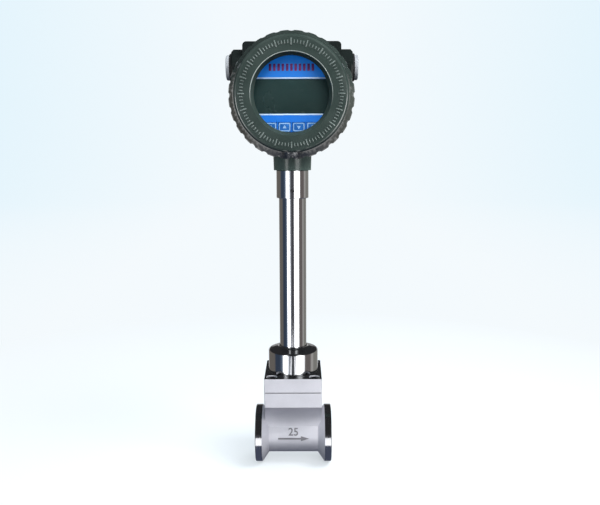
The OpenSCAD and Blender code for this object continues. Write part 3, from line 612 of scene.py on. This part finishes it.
def set_bars(tree, given, points):
    """Set the given bar on every point; a selection or a turn can still be joined to the node."""
    bar = add(tree, "GeometryNodeObjectInfo")
    spots = add(tree, "GeometryNodeInstanceOnPoints")
    tree.links.new(given["Bar"], bar.inputs["Object"])
    tree.links.new(points, spots.inputs["Points"])
    tree.links.new(bar.outputs["Geometry"], spots.inputs["Instance"])
    return spots


def finish_tree(tree, given, spots):
    """End a tree: instances become real geometry and get their material."""
    real = add(tree, "GeometryNodeRealizeInstances")
    paint = add(tree, "GeometryNodeSetMaterial")
    out = add(tree, "NodeGroupOutput")
    tree.links.new(spots.outputs["Instances"], real.inputs["Geometry"])
    tree.links.new(real.outputs["Geometry"], paint.inputs["Geometry"])
    tree.links.new(given["Finish"], paint.inputs["Material"])
    tree.links.new(paint.outputs["Geometry"], out.inputs["Geometry"])


# %% A tree that sets bars round a circle
def ring_tree():
    """Bars that point outwards on a circle; of every Step places the ones from First on are used."""
    tree, given = start_tree("bars_on_a_ring", ("Count", "Int"), ("Step", "Int"), ("First", "Int"),
                             ("Radius", "Float"), ("Bar", "Object"), ("Finish", "Material"))
    circle = add(tree, "GeometryNodeMeshCircle")
    tree.links.new(given["Count"], circle.inputs["Vertices"])
    tree.links.new(given["Radius"], circle.inputs["Radius"])
    spots = set_bars(tree, given, circle.outputs["Mesh"])
    index = add(tree, "GeometryNodeInputIndex")
    rest = add(tree, "ShaderNodeMath", {"operation": "MODULO"})
    tree.links.new(index.outputs[0], rest.inputs[0])
    tree.links.new(given["Step"], rest.inputs[1])
    chosen = add(tree, "FunctionNodeCompare", {"data_type": "FLOAT", "operation": "GREATER_EQUAL"})
    tree.links.new(rest.outputs[0], chosen.inputs["A"])
    tree.links.new(given["First"], chosen.inputs["B"])
    tree.links.new(chosen.outputs["Result"], spots.inputs["Selection"])
    position = add(tree, "GeometryNodeInputPosition")
    aim = add(tree, "FunctionNodeAlignRotationToVector", {"axis": "X"})
    tree.links.new(position.outputs[0], aim.inputs["Vector"])
    tree.links.new(aim.outputs["Rotation"], spots.inputs["Rotation"])
    finish_tree(tree, given, spots)
    return tree


# %% A tree that sets bars along a line
def row_tree():
    """Bars at even steps along a line."""
    tree, given = start_tree("bars_in_a_row", ("Count", "Int"), ("Start", "Vector"), ("Offset", "Vector"),
                             ("Bar", "Object"), ("Finish", "Material"))
    line = add(tree, "GeometryNodeMeshLine")
    tree.links.new(given["Count"], line.inputs["Count"])
    tree.links.new(given["Start"], line.inputs["Start Location"])
    tree.links.new(given["Offset"], line.inputs["Offset"])
    finish_tree(tree, given, set_bars(tree, given, line.outputs["Mesh"]))
    return tree


ring_bars = ring_tree()
row_bars = row_tree()
print("trees:", ring_bars.name, row_bars.name)


# %% Run a tree
def repeat_bar(tree, name, size, edge, **inputs):
    """Run a tree on a bar of the given size and give back the result as a plain mesh."""
    bar = bpy.data.objects.new(name + "_bar", box_mesh(name + "_bar", size, edge))
    carrier = bpy.data.objects.new(name, bpy.data.meshes.new(name))
    for helper in (bar, carrier):
        bpy.context.scene.collection.objects.link(helper)
    modifier = carrier.modifiers.new("tree", "NODES")
    modifier.node_group = tree
    inputs["Bar"] = bar
    for item in tree.interface.items_tree:
        if item.in_out == "INPUT" and item.name in inputs:
            modifier[item.identifier] = inputs[item.name]
    bpy.context.view_layer.update()
    evaluated = carrier.evaluated_get(bpy.context.evaluated_depsgraph_get())
    mesh = bpy.data.meshes.new_from_object(evaluated)
    for helper in (carrier, bar):
        bpy.data.objects.remove(helper)
    return mesh


# %% [markdown]
# ## Raised marks round the window
# The cover's front carries a cast ring of raised marks between the window and the outer edge. A plain
# graduation stands there: a long bar at every fifth place and short bars between. Each bar is sunk a little
# into the cover, as a casting's marks grow out of it.

# %% Raise the marks on the cover
mark_sink = 0.2 * MM
mark_rise = 0.55 * MM
mark_edge = 0.22 * MM
mark_ring_r = 46.7 * MM
to_cover_front = Matrix.Translation((0, cover_front_y, head_z)) @ Matrix.Rotation(math.pi / 2, 4, "X")
mark_lift = Matrix.Translation((0, 0, (mark_rise - mark_sink) / 2))
# Name, places on the ring, group of places, first place used in it, and the bar's length and width.
mark_rows = (
    ("long_marks", 20, 1, 0, (6.2, 1.2)),
    ("short_marks", 100, 5, 1, (3.2, 0.95)),
)
for name, count, step, first, (length, width) in mark_rows:
    bar_size = (length * MM, width * MM, mark_sink + mark_rise)
    mesh = repeat_bar(ring_bars, name, bar_size, mark_edge, Count=count, Step=step, First=first,
                      Radius=mark_ring_r, Finish=light_mark_paint)
    mesh.transform(to_cover_front @ mark_lift)
    place_piece(name, mesh, light_mark_paint, "front_lid")
    print(name, len(mesh.polygons), "faces")

# %% [markdown]
# ## The printed display face
# On the face a band of red marks stands above the display, and a pale line borders the display above and
# below. Real print has almost no thickness, but a film a tenth of a millimetre thick keeps it a true piece.

# %% Red marks above the display
film = 0.12 * MM
film_sink = 0.02 * MM
film_edge = 0.04 * MM
film_y = face_front_y - film / 2 + film_sink
red_count = 11
red_size = (2.5 * MM, film, 6.6 * MM)
red_pitch = 4.05 * MM
red_z = head_z + 26.2 * MM
red_start = (-red_pitch * (red_count - 1) / 2, film_y, red_z)
mesh = repeat_bar(row_bars, "red_marks", red_size, film_edge, Count=red_count, Start=red_start,
                  Offset=(red_pitch, 0, 0), Finish=print_red)
place_piece("red_marks", mesh, print_red, "head")
print("red marks:", red_count)

# %% Pale lines above and below the display
line_size = (81.0 * MM, film, 1.3 * MM)
line_gap = 0.1 * MM
display_half = (lcd_high.z - lcd_low.z) / 2 - 1.5 * MM
display_z = (lcd_high.z + lcd_low.z) / 2
for name, side in (("line_above", 1), ("line_below", -1)):
    mesh = box_mesh(name, line_size, film_edge)
    line_z = display_z + side * (display_half + line_size[2] / 2 + line_gap)
    mesh.transform(Matrix.Translation((0, film_y, line_z)))
    place_piece(name, mesh, print_line, "head")
print("pale lines: 2, each", round(line_size[0] / MM, 1), "mm long")

# %% [markdown]
# ## Key borders and symbols
# Each key has a pale rounded border and a simple symbol. Both are printed on the key, so they must travel
# with it: one piece for each key, riding on that key's own body. The outlines are drawn point by point,
# because a frame with round corners needs no more than two rings of points on each side.

# %% Outlines of borders and symbols
def rounded_outline(width, height, radius, steps=5):
    """Points of a rectangle with round corners, in the plane of x and z."""
    points = []
    for corner_x, corner_z, start_angle in ((1, 1, 0), (-1, 1, 90), (-1, -1, 180), (1, -1, 270)):
        for step in range(steps + 1):
            angle = math.radians(start_angle + 90 * step / steps)
            points.append((corner_x * (width / 2 - radius) + radius * math.cos(angle),
                           corner_z * (height / 2 - radius) + radius * math.sin(angle)))
    return points


def regular(sides, radius, turn_degrees):
    """Corners of a regular shape in the plane of x and z."""
    angles = [math.radians(turn_degrees + 360 * i / sides) for i in range(sides)]
    return [(radius * math.cos(angle), radius * math.sin(angle)) for angle in angles]


# %% Flat solids from outlines
def add_prism(work, outline, front, back):
    """Add a flat solid with the given outline between two planes of constant y."""
    rings = [[work.verts.new((x, y, z)) for x, z in outline] for y in (front, back)]
    count = len(outline)
    for i in range(count):
        j = (i + 1) % count
        work.faces.new((rings[0][i], rings[0][j], rings[1][j], rings[1][i]))
    work.faces.new(rings[0])
    work.faces.new(reversed(rings[1]))


def add_border(work, outer, inner, front, back):
    """Add a flat frame between two outlines with as many points each."""
    rings = [[work.verts.new((x, y, z)) for x, z in line]
             for line, y in ((outer, front), (inner, front), (inner, back), (outer, back))]
    count = len(outer)
    for side in range(4):
        first, second = rings[side], rings[(side + 1) % 4]
        for i in range(count):
            j = (i + 1) % count
            work.faces.new((first[i], first[j], second[j], second[i]))


# %% Print on the keys
arrow_r = 2.2 * MM
border_inset = 2.1 * MM
border_width = 0.9 * MM
border_round, border_inner_round = 1.3 * MM, 0.6 * MM
left, up, down = (regular(3, arrow_r, degrees) for degrees in (180, 90, 270))
dot = regular(24, 1.9 * MM, 0)
for number, symbol in enumerate((left, up, down, dot), start=1):
    low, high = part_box(f"key_{number}")
    middle = (low + high) / 2
    width, height = high.x - low.x - border_inset, high.z - low.z - border_inset
    outer = rounded_outline(width, height, border_round)
    inner = rounded_outline(width - 2 * border_width, height - 2 * border_width, border_inner_round)
    work = bmesh.new()
    add_border(work, outer, inner, -film, film_sink)
    add_prism(work, symbol, -film, film_sink)
    bmesh.ops.recalc_face_normals(work, faces=work.faces)
    mesh = bpy.data.meshes.new(f"key_print_{number}")
    work.to_mesh(mesh)
    work.free()
    mesh.transform(Matrix.Translation((middle.x, low.y, middle.z)))
    place_piece(f"key_print_{number}", mesh, key_print, f"button_{number}")
    print("key", number, "print:", len(mesh.polygons), "faces")

# %% [markdown]
# ## Cast marks on the barrel
# The barrel carries a raised flow arrow and the plain number of its bore. They are drawn flat, given a
# thickness, and then wrapped round the barrel, because casting marks follow the surface they stand on.

# %% Raise flat marks and wrap them round the barrel
barrel_r = 20.0 * MM
cast_sink = 0.3 * MM
cast_rise = 0.5 * MM
cast_edge = 0.12 * MM


def raised_mesh(name, curve):
    """Turn a flat curve or text into a solid mesh that reaches from below zero to above it."""
    curve.extrude = (cast_sink + cast_rise) / 2
    curve.bevel_depth = cast_edge
    curve.bevel_resolution = 1
    holder = bpy.data.objects.new(name, curve)
    bpy.context.scene.collection.objects.link(holder)
    bpy.context.view_layer.update()
    mesh = bpy.data.meshes.new_from_object(holder.evaluated_get(bpy.context.evaluated_depsgraph_get()))
    bpy.data.objects.remove(holder)
    work = bmesh.new()
    work.from_mesh(mesh)
    bmesh.ops.remove_doubles(work, verts=work.verts, dist=0.005 * MM)
    bmesh.ops.recalc_face_normals(work, faces=work.faces)
    work.to_mesh(mesh)
    work.free()
    mesh.transform(Matrix.Translation((0, 0, (cast_rise - cast_sink) / 2)))
    return mesh


def wrap_on_barrel(mesh, lift_degrees):
    """Bend a flat mesh round the barrel: x stays along the flow, y goes round, z becomes height."""
    for vertex in mesh.vertices:
        angle = math.radians(lift_degrees) + vertex.co.y / barrel_r
        reach = barrel_r + vertex.co.z
        vertex.co = (vertex.co.x, -reach * math.cos(angle), reach * math.sin(angle))


# %% The number of the bore
number_lift = 22.0
number_curve = bpy.data.curves.new("size_number", "FONT")
number_curve.body = "25"
number_curve.size = 11.0 * MM
number_curve.align_x = "CENTER"
number_curve.align_y = "CENTER"
number_mesh = raised_mesh("size_number", number_curve)
wrap_on_barrel(number_mesh, number_lift)
place_piece("size_number", number_mesh, mark_casting_painted_shade, "flow_tube")
print("number:", len(number_mesh.polygons), "faces")

# %% The flow arrow
arrow_lift = 3.0
arrow_points = ((-16, -0.7), (-16, 0.7), (8, 0.7), (8, 2.4), (16, 0), (8, -2.4), (8, -0.7))
arrow_curve = bpy.data.curves.new("flow_arrow", "CURVE")
arrow_curve.dimensions = "2D"
arrow_curve.fill_mode = "BOTH"
spline = arrow_curve.splines.new("POLY")
spline.points.add(len(arrow_points) - 1)
for point, (x, y) in zip(spline.points, arrow_points):
    point.co = (x * MM, y * MM, 0, 1)
spline.use_cyclic_u = True
arrow_mesh = raised_mesh("flow_arrow", arrow_curve)
wrap_on_barrel(arrow_mesh, arrow_lift)
place_piece("flow_arrow", arrow_mesh, mark_casting_painted_shade, "flow_tube")
print("arrow:", len(arrow_mesh.polygons), "faces")

# %% [markdown]
# ## Studio
# A pale floor runs into a wide round backdrop, so that no edge shows behind the meter from any side. One
# material serves both: near the meter it is a floor that catches the shadow, further out it turns into even
# light. Both are hidden from reflections, because polished steel looks like steel only when dark and bright
# areas alternate in it. The floor is also hidden from diffuse light, or it would light the meter from below
# and take the form out of the rounded casting.

# %% Material of floor and backdrop
side_tint = (0.80, 0.93, 0.99)
floor_tone = (0.62, 0.65, 0.68)


def stage_material(name, colour, shadow_reach):
    """Even light that gives way to a shadow-catching floor near the meter and is tinted far to the sides."""
    material = bpy.data.materials.new(name)
    material.use_nodes = True
    tree = material.node_tree
    tree.nodes.clear()
    place = add(tree, "ShaderNodeTexCoord").outputs["Object"]
    far = spread(tree, length_of(tree, place), 0.55, 1, shadow_reach * 0.2, shadow_reach)
    sideways = spread(tree, size_of(tree, split_axes(tree, place)["X"]), 0, 1, 0.5, 3.0)
    tinted = tuple(level * tint for level, tint in zip(colour, side_tint))
    glow = add(tree, "ShaderNodeEmission", Strength=1.0)
    tree.links.new(blend_colours(tree, sideways, colour, tinted), glow.inputs["Color"])
    floor = add(tree, "ShaderNodeBsdfDiffuse", Color=(*floor_tone, 1))
    mix = add(tree, "ShaderNodeMixShader")
    tree.links.new(far, mix.inputs[0])
    tree.links.new(floor.outputs[0], mix.inputs[1])
    tree.links.new(glow.outputs[0], mix.inputs[2])
    out = add(tree, "ShaderNodeOutputMaterial")
    tree.links.new(mix.outputs[0], out.inputs["Surface"])
    return material


def lathe_mesh(name, profile, segments):
    """Turn a profile of radius and height round the upright axis."""
    mesh = bpy.data.meshes.new(name)
    work = bmesh.new()
    verts = [work.verts.new((radius, 0, height)) for radius, height in profile]
    edges = [work.edges.new(pair) for pair in zip(verts, verts[1:])]
    bmesh.ops.spin(work, geom=verts + edges, axis=(0, 0, 1), cent=(0, 0, 0), steps=segments,
                   angle=2 * math.pi)
    bmesh.ops.remove_doubles(work, verts=work.verts, dist=0.01 * MM)
    work.to_mesh(mesh)
    work.free()
    mesh.shade_smooth()
    return mesh


# %% Floor and backdrop
room_r = 5.0
sweep_r = 1.0
wall_start = room_r - sweep_r
sweep_angles = [math.pi / 2 * i / 8 for i in range(9)]
dome_angles = [math.pi / 2 * i / 12 for i in range(1, 13)]
floor_profile = [(radius, floor_z) for radius in (0, 0.6, 2.0, wall_start)]
wall_profile = [(wall_start + sweep_r * math.sin(angle), floor_z + sweep_r * (1 - math.cos(angle)))
                for angle in sweep_angles]
wall_profile += [(room_r * math.cos(angle), floor_z + sweep_r + room_r * math.sin(angle))
                 for angle in dome_angles]
studio_pale = stage_material("studio_pale", (0.905, 0.955, 0.985), 0.7)
# Name, profile, and whether its light reaches dull surfaces of the meter.
room_parts = (("studio_floor", floor_profile, False), ("studio_wall", wall_profile, True))
for name, profile, lights_meter in room_parts:
    room = bpy.data.objects.new(name, lathe_mesh(name, profile, 64))
    room.data.materials.append(studio_pale)
    bpy.context.scene.collection.objects.link(room)
    room.visible_glossy = False
    room.visible_diffuse = lights_meter
print("stage:", ", ".join(name for name, profile, lights_meter in room_parts))

# %% [markdown]
# ## Cards for the disc rims
# The rims of the clamp discs are bright bands, and their front mirrors what lies before the meter. To give
# each a bright streak, a photographer would lay two white cards there, so we do the same. Only reflections
# see them: they throw no shadow and stay out of the picture.

# %% Two white cards
card_white = stage_material("card_white", (1.5, 1.5, 1.55), 0.01)
card_size = (0.026, 0.385, 0.001)
card_edge = 0.2 * MM
card_y, card_z = -262 * MM, floor_z + 14 * MM
card_slope = Matrix.Rotation(math.radians(-3.6), 4, "X")
for name, card_x, turn_degrees in (("rim_card_left", -50.5, -3.8), ("rim_card_right", 44.8, 2.2)):
    card_turn = Matrix.Rotation(math.radians(turn_degrees), 4, "Z")
    card_mesh = box_mesh(name, card_size, card_edge)
    card_mesh.transform(Matrix.Translation((card_x * MM, card_y, card_z)) @ card_turn @ card_slope)
    card_mesh.materials.append(card_white)
    card = bpy.data.objects.new(name, card_mesh)
    bpy.context.scene.collection.objects.link(card)
    for ray in ("camera", "diffuse", "shadow", "transmission"):
        setattr(card, "visible_" + ray, False)
    print(name, "at", card_x, "mm")

# %% [markdown]
# ## Surroundings for the reflections
# A polished stem shows the whole room as upright stripes, so the room is laid out by the angle round the
# meter: two tall bright windows in front, two narrow ones behind, and dark blue, brown and grey areas between
# them. Each front window holds a much brighter pane with soft edges, which gives the burnt-out stripes on
# steel. Above the windows the room is almost black, apart from faint panes that rounded edges pick up, and
# below them it is a dark blue. An image of a real room would do the same, but it could not be tuned.

# %% Colours round the horizon
brown = (0.145, 0.132, 0.118)
deep_blue = (0.040, 0.055, 0.085)
soft_blue = (0.100, 0.140, 0.210)
pale = (0.50, 0.53, 0.58)
gap = (0.065, 0.066, 0.075)
dusk = (0.150, 0.130, 0.125)
strip = (0.400, 0.385, 0.365)
grey = (0.230, 0.225, 0.205)
window = (1.7, 1.7, 1.7)
rear = (0.55, 0.55, 0.55)
# Degrees from the front of the meter, to the right of it as positive.
room_stops = (
    (-180, brown), (-172, rear), (-158, rear), (-150, brown), (-97, brown), (-88, deep_blue),
    (-66, deep_blue), (-52, soft_blue), (-43, window), (-33, window), (-22, pale), (-9, gap),
    (9, gap), (16, window), (52, window), (57, dusk), (86, dusk), (95, strip),
    (102, strip), (112, grey), (150, grey), (158, rear), (172, rear), (180, brown))
none, full = (0, 0, 0), (1, 1, 1)
pane_stops = (
    (-180, none), (-45, none), (-38, full), (-32, full), (-22, none),
    (16, none), (26, full), (38, full), (48, none))
pane_light = (7.0, 7.0, 7.0)
upper_pane_light = (0.6, 0.6, 0.6)
ceiling_dark = (0.026, 0.026, 0.028)
ground_dark = (0.07, 0.08, 0.12)
print("horizon:", len(room_stops), "stops,", len(pane_stops), "for the panes")


# %% Surroundings
def horizon_ramp(tree, turn, stops):
    """A colour ramp round the horizon; turn goes from zero to one for a whole round that starts behind."""
    ramp = add(tree, "ShaderNodeValToRGB")
    tree.links.new(turn, ramp.inputs["Fac"])
    points = ramp.color_ramp.elements
    while len(points) < len(stops):
        points.new(0.5)
    for point, (degrees, colour) in zip(points, stops):
        point.position = (degrees + 180) / 360
        point.color = (*colour, 1)
    return ramp.outputs["Color"]


def surroundings():
    """The room that the steel mirrors, by the angle round the meter and by the height of the view."""
    world = bpy.data.worlds.new("surroundings")
    bpy.context.scene.world = world
    world.use_nodes = True
    tree = world.node_tree
    axes = split_axes(tree, add(tree, "ShaderNodeTexCoord").outputs["Generated"])
    height = axes["Z"]
    ahead = add(tree, "ShaderNodeMath", {"operation": "MULTIPLY"})
    ahead.inputs[1].default_value = -1.0
    tree.links.new(axes["Y"], ahead.inputs[0])
    azimuth = add(tree, "ShaderNodeMath", {"operation": "ARCTAN2"})
    tree.links.new(axes["X"], azimuth.inputs[0])
    tree.links.new(ahead.outputs[0], azimuth.inputs[1])
    turn = spread(tree, azimuth.outputs[0], 0, 1, -math.pi, math.pi)
    panes = horizon_ramp(tree, turn, pane_stops)
    upper_panes = times(tree, panes, spread(tree, height, 1, 0, 0.78, 0.90))
    upper = blend_colours(tree, upper_panes, ceiling_dark, upper_pane_light)
    above_ground = blend_colours(
        tree, spread(tree, height, 0, 1, 0.10, 0.22), horizon_ramp(tree, turn, room_stops), upper)
    room = blend_colours(tree, spread(tree, height, 0, 1, -0.62, -0.40), ground_dark, above_ground)
    pane_foot = spread(tree, height, 0, 1, -0.34, -0.28)
    pane_top = spread(tree, height, 1, 0, 0.02, 0.08)
    bright = times(tree, panes, times(tree, pane_foot, pane_top))
    lit_room = blend_colours(tree, bright, room, pane_light)
    tree.links.new(lit_room, tree.nodes["Background"].inputs["Color"])
    return world


print("surroundings:", surroundings().name)

# %% [markdown]
# ## Lamps
# The surroundings alone would light the meter evenly. A broad lamp from the upper right leaves the left
# flanks in shade, which gives the round parts their form, one in front brightens the display side, and a
# weaker one behind keeps the back readable. None shows in a reflection, so the stripes stay as they are laid.

# %% Soft lamps
def soft_lamp(name, place, aim, size, power):
    """A rectangular lamp that looks at a point; power is in watts."""
    data = bpy.data.lights.new(name, "AREA")
    data.shape = "RECTANGLE"
    data.size, data.size_y = size
    data.energy = power
    lamp = bpy.data.objects.new(name, data)
    bpy.context.scene.collection.objects.link(lamp)
    lamp.location = place
    lamp.rotation_euler = (Vector(aim) - Vector(place)).to_track_quat("-Z", "Y").to_euler()
    lamp.visible_camera = False
    lamp.visible_glossy = False
    print("lamp", name, power, "W")


soft_lamp("upper_right", (0.85, -0.50, 1.45), (0, 0, 0.1), (0.7, 0.7), 32.0)
soft_lamp("front", (0.25, -1.3, 1.1), (0, 0, 0.05), (1.0, 0.8), 20.0)
soft_lamp("behind", (0.7, 1.2, 1.0), (0, 0, 0.25), (0.8, 0.8), 9.0)

# %% [markdown]
# ## The view transform
# The Standard view transform keeps the whites of the backdrop white.

# %% Set the view transform
bpy.context.scene.view_settings.view_transform = "Standard"
